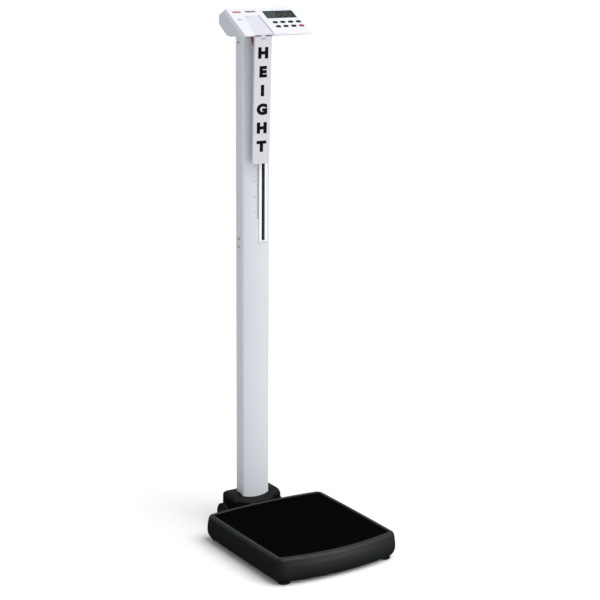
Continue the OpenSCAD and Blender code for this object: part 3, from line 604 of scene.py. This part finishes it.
class COLUMNSCALE_OT_column(bpy.types.Operator):
    """Two coated column lengths and the slot's frame"""

    bl_idname = "column_scale.column"
    bl_label = "Column"

    def open_outline(self, outline, inset, gap, sizes):
        """The outline with the front points between x = left and right taken out, started at the
        gap's right side, with its two ends set on the column's front at the gap's sides."""
        left, right = gap
        shared = column_outline(0, sizes)
        front = shared[:, 1] < UPPER_HIGH[1] - 0.03
        inside = (shared[:, 0] > left) & (shared[:, 0] < right) & front
        start = int(np.flatnonzero(inside).max()) + 1
        order = np.roll(np.arange(len(shared)), -start)[: len(shared) - int(inside.sum())]
        ring = outline[order]
        ring[0] = [right, column_front(right, sizes) + inset]
        ring[-1] = [left, column_front(left, sizes) + inset]
        return ring

    def tube(self, name, nodes, z0, z1, gap, sizes):
        """Wall between two outlines, carried from z0 to z1. With a gap in its front, given by two
        values of x, the wall is closed across its thickness at both sides of the gap."""
        outer, inner = (column_outline(inset, sizes) for inset in (0.0, sizes.column_wall))
        if gap:
            outer = self.open_outline(outer, 0.0, gap, sizes)
            inner = self.open_outline(inner, sizes.column_wall, gap, sizes)
        loop = np.concatenate([outer, inner[::-1]])
        points = np.concatenate([np.column_stack([loop, np.full(len(loop), z)]) for z in (z0, z1)])
        n = len(outer)
        if gap:
            j = np.arange(n - 1)
            k = j + 1
            faces = [grid_faces(2, 2 * n)]
        else:
            j = np.arange(n)
            k = (j + 1) % n
            faces = [np.stack([base + j, base + k, 2 * n + base + k, 2 * n + base + j], 1)
                     for base in (0, n)]
        for base in (0, 2 * n):
            faces.append(np.stack([base + j, base + k, base + 2 * n - 1 - k, base + 2 * n - 1 - j], 1))
        mesh = mesh_from(points, np.concatenate(faces))
        piece = add_piece(name, mesh, "base", slot_finish("column_coat"), nodes)
        return soften(piece, 0.5 * MM, 2, 50)

    def slot_frame(self):
        """The slot's white frame, with painted shade in a mid grey on the slot's own side walls."""
        piece = softened_node("track_insert", "slot_frame", "base", slot_finish("track_plastic"),
                              1.0 * MM, 3)
        # The mid grey on the slot's side walls is painted shade inside the slot; the insert is white plastic
        # throughout.
        piece.data.materials.append(finish("Slot wall painted shade", (0.36, 0.40, 0.43), 0.6))
        middle = (POINTER_LOW[0] + POINTER_HIGH[0]) / 2
        for face in piece.data.polygons:
            if abs(face.center.x - middle) < 8 * MM and abs(face.normal.x) > 0.9:
                face.material_index = 1

    def execute(self, context):
        sizes = context.scene.column_scale_sizes
        clearance = 0.2 * MM
        self.tube("column_lower", ["lower_column"], LOWER_LOW[2], LOWER_HIGH[2], None, sizes)
        sill = TRACK_LOW[2] - clearance
        gap = (TRACK_LOW[0] - clearance, TRACK_HIGH[0] + clearance)
        self.tube("column_upper", ["upper_column"], sill, UPPER_HIGH[2], gap, sizes)
        self.tube("column_upper_sill", [], UPPER_LOW[2], sill, None, sizes)
        self.slot_frame()
        return {"FINISHED"}


class COLUMNSCALE_OT_printed_scale(bpy.types.Operator):
    """Centimetre scale printed beside the slot"""

    bl_idname = "column_scale.printed_scale"
    bl_label = "Printed scale"

    def ticks(self, zero, sizes):
        """Ticks a quarter of a centimetre apart, longest at whole centimetres, up from zero."""
        steps = np.arange(0, 201)
        whole, half = steps % 4 == 0, steps % 2 == 0
        reach = np.where(whole, 1.0, np.where(half, 0.8, 0.6)) * sizes.tick
        x = TRACK_LOW[0] + 0.5 * MM - reach / 2
        y = column_front(x, sizes) + 0.05 * MM
        centres = np.stack([x, y, zero + steps * 2.5 * MM], axis=1)
        thick = np.where(whole, 1.3, 1.1) * MM
        return solid_boxes(centres, np.stack([reach, np.full(len(x), 0.5 * MM), thick], axis=1))

    def execute(self, context):
        sizes = context.scene.column_scale_sizes
        pointer = (POINTER_LOW[2] + POINTER_HIGH[2]) / 2
        blade = HINGE["pos_m"][2] - 5 * MM
        lowest = (blade - MAT_HIGH[2]) * 100
        first = math.ceil(lowest)
        add_piece("scale_ticks", self.ticks(pointer + (first - lowest) / 100, sizes), "base", grey_ink())
        column_x, digit_size, last, step = -10.5 * MM, 5.5 * MM, first + 51, 5
        marks = []
        for number in range(step * math.ceil(first / step), last, step):
            height = pointer + (number - lowest) / 100
            spot = Vector((column_x, column_front(column_x, sizes) - 0.1 * MM, height))
            marks.append(lettering(str(number), digit_size, Matrix.Translation(spot) @ UPRIGHT))
        add_piece("scale_numbers", joined(marks), "base", grey_ink())
        return {"FINISHED"}


def grey_ink():
    """Thin grey ink of the printed scale."""
    return finish("Grey ink", (0.10, 0.11, 0.11), 0.5, scale=2500, depth=0.01 * MM)


class COLUMNSCALE_OT_head(bpy.types.Operator):
    """Front and rear shells of the head, the cap over the rod and the red bracket under it"""

    bl_idname = "column_scale.head"
    bl_label = "Head"

    def execute(self, context):
        for node, name, body, slot, width, segments in (
            ("head_front", "front_shell", "base", "head_plastic", 0.7, 2),
            ("head_rear", "rear_shell", "base", "head_rear_plastic", 0.5, 2),
            ("rod_cap", "channel_cap", "height_rod", "cap_plastic", 1.2, 3),
            ("hinge_bracket", "red_bracket", "height_rod", "bracket_red", 0.5, 2),
        ):
            softened_node(node, name, body, slot_finish(slot), width * MM, segments)
        return {"FINISHED"}


class COLUMNSCALE_OT_display(bpy.types.Operator):
    """Display window with a dark border and seven-segment digits"""

    bl_idname = "column_scale.display"
    bl_label = "Display"

    def segment_digit(self, lit, size, place):
        """Seven bars of a digit: each is a six-sided bar, leaned to the right by a tenth."""
        bars = {
            "a": (0, 1, 0), "b": (0.5, 0.5, 1), "c": (0.5, -0.5, 1), "d": (0, -1, 0),
            "e": (-0.5, -0.5, 1), "f": (-0.5, 0.5, 1), "g": (0, 0, 0),
        }
        half, thick = size * 0.25, size * 0.095
        outline = np.array([[-half, 0], [-half + thick, thick], [half - thick, thick], [half, 0],
                            [half - thick, -thick], [-half + thick, -thick]])
        points, faces = [], []
        for name in lit:
            bar_x, bar_y, upright = bars[name]
            shape = outline[:, ::-1] * [1, -1] if upright else outline
            flat = shape + [bar_x * size * 0.5, bar_y * size * 0.48]
            flat = flat + np.stack([0.1 * flat[:, 1], np.zeros(6)], axis=1)
            first = 12 * len(faces)
            points.append(np.column_stack([flat, np.zeros(6)]))
            points.append(np.column_stack([flat, np.full(6, 0.12 * MM)]))
            faces.append([[first + i for i in range(5, -1, -1)], [first + 6 + i for i in range(6)]]
                         + [[first + i, first + (i + 1) % 6, first + 6 + (i + 1) % 6, first + 6 + i]
                            for i in range(6)])
        mesh = mesh_from(np.concatenate(points), [f for group in faces for f in group])
        mesh.transform(place)
        return mesh

    def border(self, sizes):
        """Four dark bars printed round the window."""
        half_x = (WINDOW_HIGH[0] - WINDOW_LOW[0]) / 2
        half_s = (WINDOW_HIGH[1] - WINDOW_LOW[1]) / 2 / math.cos(sizes.face_tilt) - 0.3 * MM
        band = 1.5 * MM
        centres = np.array([[half_x, 0, 0], [-half_x, 0, 0], [0, half_s, 0], [0, -half_s, 0]])
        spans = np.array([[band, 2 * half_s + band, 0.2 * MM], [band, 2 * half_s + band, 0.2 * MM],
                          [2 * half_x, band, 0.2 * MM], [2 * half_x, band, 0.2 * MM]])
        bars = solid_boxes(centres, spans)
        bars.transform(face_place((WINDOW_LOW[0] + WINDOW_HIGH[0]) / 2, 0, 0.08 * MM, sizes))
        add_piece("display_border", bars, "base",
                  finish("Border ink", (0.006, 0.010, 0.008), 0.4, depth=0.0, specular=0.2))

    def execute(self, context):
        sizes = context.scene.column_scale_sizes
        softened_node("lcd_window", "display_window", "base", slot_finish("lcd_clear"), 0.3 * MM, 2)
        middle = (WINDOW_LOW[0] + WINDOW_HIGH[0]) / 2
        zero, out = "abcdef", -0.38 * MM
        digits = [self.segment_digit(zero, sizes.digit, face_place(middle + x * MM, 0, out, sizes))
                  for x in (-3, 18, 41)]
        point = face_place(middle + 29.5 * MM, sizes.digit * 0.46, out, sizes)
        digits.append(lettering(".", sizes.digit * 1.3, point, 0.2 * MM))
        self.border(sizes)
        add_piece("display_digits", joined(digits), "base",
                  finish("Display segments", (0.001, 0.002, 0.002), 0.35, depth=0.0, specular=0.2))
        return {"FINISHED"}


class COLUMNSCALE_OT_face_marks(bpy.types.Operator):
    """Plain marks printed on the display face"""

    bl_idname = "column_scale.face_marks"
    bl_label = "Face marks"

    def execute(self, context):
        sizes = context.scene.column_scale_sizes
        proud, upper_row, lower_row = 0.05 * MM, -19 * MM, 21 * MM
        bar = solid_boxes(np.zeros((1, 3)), np.array([[31, 8.5, 0.3]]) * MM)
        bar.transform(face_place(-40.5 * MM, upper_row, proud, sizes))
        red = finish("Red ink", (0.46, 0.10, 0.13), 0.45, scale=2500, depth=0.01 * MM)
        soften(add_piece("red_bar", bar, "base", red), 0.12 * MM, 2)
        word_place = face_place(9 * MM, upper_row, proud, sizes)
        word = lettering("WEIGHT", 10 * MM, word_place, 0.2 * MM, 0.6 * MM)
        add_piece("unit_words", word, "base", ink_finish())
        small_place = face_place(-48 * MM, lower_row, proud, sizes)
        small = lettering("250 kg\nd = 0.1 kg", 4.6 * MM, small_place, 0.15 * MM, 0.2 * MM)
        add_piece("small_print", small, "base", grey_ink())
        return {"FINISHED"}


class COLUMNSCALE_OT_keys(bpy.types.Operator):
    """Eight keys of the pad"""

    bl_idname = "column_scale.keys"
    bl_label = "Keys"

    def execute(self, context):
        for key in KEYS:
            node = f"key_{key}"
            slot = "key_red" if key == "power" else "key_dark"
            softened_node(node, f"{key}_button", node, slot_finish(slot), 0.8 * MM, 3, angle=60)
        return {"FINISHED"}


class COLUMNSCALE_OT_headpiece(bpy.types.Operator):
    """Fold-out headpiece with a plain word down its front"""

    bl_idname = "column_scale.headpiece"
    bl_label = "Headpiece"

    word: StringProperty(name="Word", description="Generic word down the headpiece", default="HEIGHT")

    def execute(self, context):
        sizes = context.scene.column_scale_sizes
        softened_node("headpiece", "headpiece_blade", "headpiece", slot_finish("headpiece_plastic"),
                      1.6 * MM, 4)
        lean = math.radians(HINGE["range_deg"][1] - 90)
        turn = Matrix.Translation(Vector(HINGE["pos_m"])) @ Matrix.Rotation(lean, 4, "X")
        widen = Matrix.Diagonal((1.18, 1, 1, 1))
        capital = 0.72
        front, first, last = -5 * MM, -48.5 * MM, -341 * MM
        letters = []
        for letter, down in zip(self.word, np.linspace(first, last, len(self.word))):
            place = turn @ Matrix.Translation(Vector((0, front, down))) @ UPRIGHT @ widen
            letters.append(lettering(letter, sizes.letter / capital, place, 0.3 * MM, 3.1 * MM))
        add_piece("headpiece_word", joined(letters), "headpiece", ink_finish())
        return {"FINISHED"}


class COLUMNSCALE_OT_other_parts(bpy.types.Operator):
    """Finishes of every frame node, such as the transport wheels, that no surface stands for"""

    bl_idname = "column_scale.other_parts"
    bl_label = "Wheels and inner parts"

    def execute(self, context):
        for row in frame["record"]["subparts"]:
            part = frame["nodes"][row["node"]]
            for slot in part.material_slots:
                slot.material = slot_finish(row["material_slot"])
        return {"FINISHED"}


class COLUMNSCALE_OT_stage(bpy.types.Operator):
    """Pale floor, soft studio light and the camera"""

    bl_idname = "column_scale.stage"
    bl_label = "Stage"

    def lamp(self, name, place, target, size, power, tint=(1, 1, 1), spread=180):
        """A square soft light that faces a target and spreads by an angle in degrees."""
        light = bpy.data.lights.new(name, "AREA")
        light.size = size
        light.energy = power
        light.color = tint
        light.spread = math.radians(spread)
        holder = bpy.data.objects.new(name, light)
        bpy.context.collection.objects.link(holder)
        holder.location = place
        holder.visible_camera = False
        holder.rotation_euler = (Vector(target) - Vector(place)).to_track_quat("-Z", "Y").to_euler()

    def sky(self, tree):
        """Sky whose light fades to dark just under the horizon, and which the camera sees white."""
        split = tree.nodes.new("ShaderNodeSeparateXYZ")
        tree.links.new(tree.nodes.new("ShaderNodeTexCoord").outputs["Generated"], split.inputs[0])
        fade = tree.nodes.new("ShaderNodeMapRange")
        fade.interpolation_type = "SMOOTHSTEP"
        fade.inputs["From Min"].default_value = -0.15
        fade.inputs["From Max"].default_value = 0.25
        fade.inputs["To Min"].default_value = 0.03
        fade.inputs["To Max"].default_value = 0.5
        tree.links.new(split.outputs["Z"], fade.inputs["Value"])
        background = tree.nodes["Background"]
        background.inputs["Color"].default_value = (0.93, 0.96, 1.0, 1)
        seen = tree.nodes.new("ShaderNodeLightPath").outputs["Is Camera Ray"]
        strength = maths(tree, "MAXIMUM", fade.outputs["Result"], maths(tree, "MULTIPLY", seen, 1.2))
        tree.links.new(strength, background.inputs["Strength"])

    def floor(self):
        """A pale floor, wide enough for its edge to stay out of sight."""
        half = 90.0
        corners = np.array([[-half, -half, 0], [half, -half, 0], [half, half, 0], [-half, half, 0]])
        mesh = bpy.data.meshes.new("floor")
        mesh.from_pydata(corners.tolist(), [], [[0, 1, 2, 3]])
        floor = bpy.data.objects.new("floor", mesh)
        bpy.context.collection.objects.link(floor)
        mesh.materials.append(finish("Floor", (0.93, 0.93, 0.93), 0.9, scale=30, depth=0.0, variation=0.0,
                                     specular=0.0))
        floor.visible_glossy = False

    def top_light(self, direction, strength, spread):
        """Even light from a direction, over a round patch of sky as wide as the spread."""
        sun = bpy.data.lights.new("top_light", "SUN")
        sun.energy = strength
        sun.angle = math.radians(spread)
        sun.color = (1.0, 0.99, 0.975)
        holder = bpy.data.objects.new("top_light", sun)
        bpy.context.collection.objects.link(holder)
        holder.rotation_euler = Vector(direction).to_track_quat("Z", "Y").to_euler()

    def camera(self, place, turn, fall):
        """A long lens at a place, turned right of +Y and down from level by angles in degrees."""
        camera = bpy.data.cameras.new("camera")
        camera.sensor_width = 36
        camera.lens = 93.2
        camera.shift_x = 0.0833
        camera.shift_y = 0.0433
        holder = bpy.data.objects.new("camera", camera)
        bpy.context.collection.objects.link(holder)
        turn, fall = math.radians(turn), math.radians(fall)
        sight = Vector((math.cos(fall) * math.sin(turn), math.cos(fall) * math.cos(turn), -math.sin(fall)))
        holder.location = place
        holder.rotation_euler = sight.to_track_quat("-Z", "Y").to_euler()
        bpy.context.scene.camera = holder

    def execute(self, context):
        world = bpy.data.worlds.new("Studio")
        world.use_nodes = True
        self.sky(world.node_tree)
        context.scene.world = world
        context.scene.view_settings.view_transform = "Standard"
        self.floor()
        self.top_light((0.30, -0.34, 1.0), 2.3, 50)
        self.lamp("key_light", (2.6, -4.0, 1.7), (0, 0, 0.4), 2.4, 44, (1.0, 0.985, 0.97))
        self.lamp("low_light", (0.75, -1.75, 0.30), (0, -0.3, 0.0), 0.6, 0.55, spread=34)
        self.camera((-2.547, -3.999, 1.958), 30.96, 14.55)
        return {"FINISHED"}


class COLUMNSCALE_PT_panel(bpy.types.Panel):
    """Lists the pieces"""

    bl_idname = "COLUMNSCALE_PT_panel"
    bl_label = "Column Scale"
    bl_space_type = "VIEW_3D"
    bl_region_type = "UI"
    bl_category = "Column Scale"

    def draw(self, context):
        for group in (context.scene.column_scale_sizes, context.scene.column_scale_colours):
            for name in group.__annotations__:
                self.layout.prop(group, name)
        for operator in OPERATORS:
            self.layout.operator(operator.bl_idname)


OPERATORS = [
    COLUMNSCALE_OT_other_parts, COLUMNSCALE_OT_platform, COLUMNSCALE_OT_socket, COLUMNSCALE_OT_column,
    COLUMNSCALE_OT_printed_scale, COLUMNSCALE_OT_head, COLUMNSCALE_OT_display,
    COLUMNSCALE_OT_face_marks, COLUMNSCALE_OT_keys, COLUMNSCALE_OT_headpiece, COLUMNSCALE_OT_stage,
]
CLASSES = [ColumnScaleSizes, ColumnScaleColours, *OPERATORS, COLUMNSCALE_PT_panel]


def register():
    """Registers the classes and hangs the properties on the scene."""
    for cls in CLASSES:
        bpy.utils.register_class(cls)
    bpy.types.Scene.column_scale_sizes = PointerProperty(type=ColumnScaleSizes)
    bpy.types.Scene.column_scale_colours = PointerProperty(type=ColumnScaleColours)


def unregister():
    """Takes them off again."""
    del bpy.types.Scene.column_scale_colours
    del bpy.types.Scene.column_scale_sizes
    for cls in reversed(CLASSES):
        bpy.utils.unregister_class(cls)


def main():
    """Builds every piece in order."""
    register()
    for operator in OPERATORS:
        call = getattr(bpy.ops.column_scale, operator.bl_idname.split(".")[1])
        if call() != {"FINISHED"}:
            raise RuntimeError(f"{operator.bl_label} was not built")


if __name__ == "__main__":
    main()
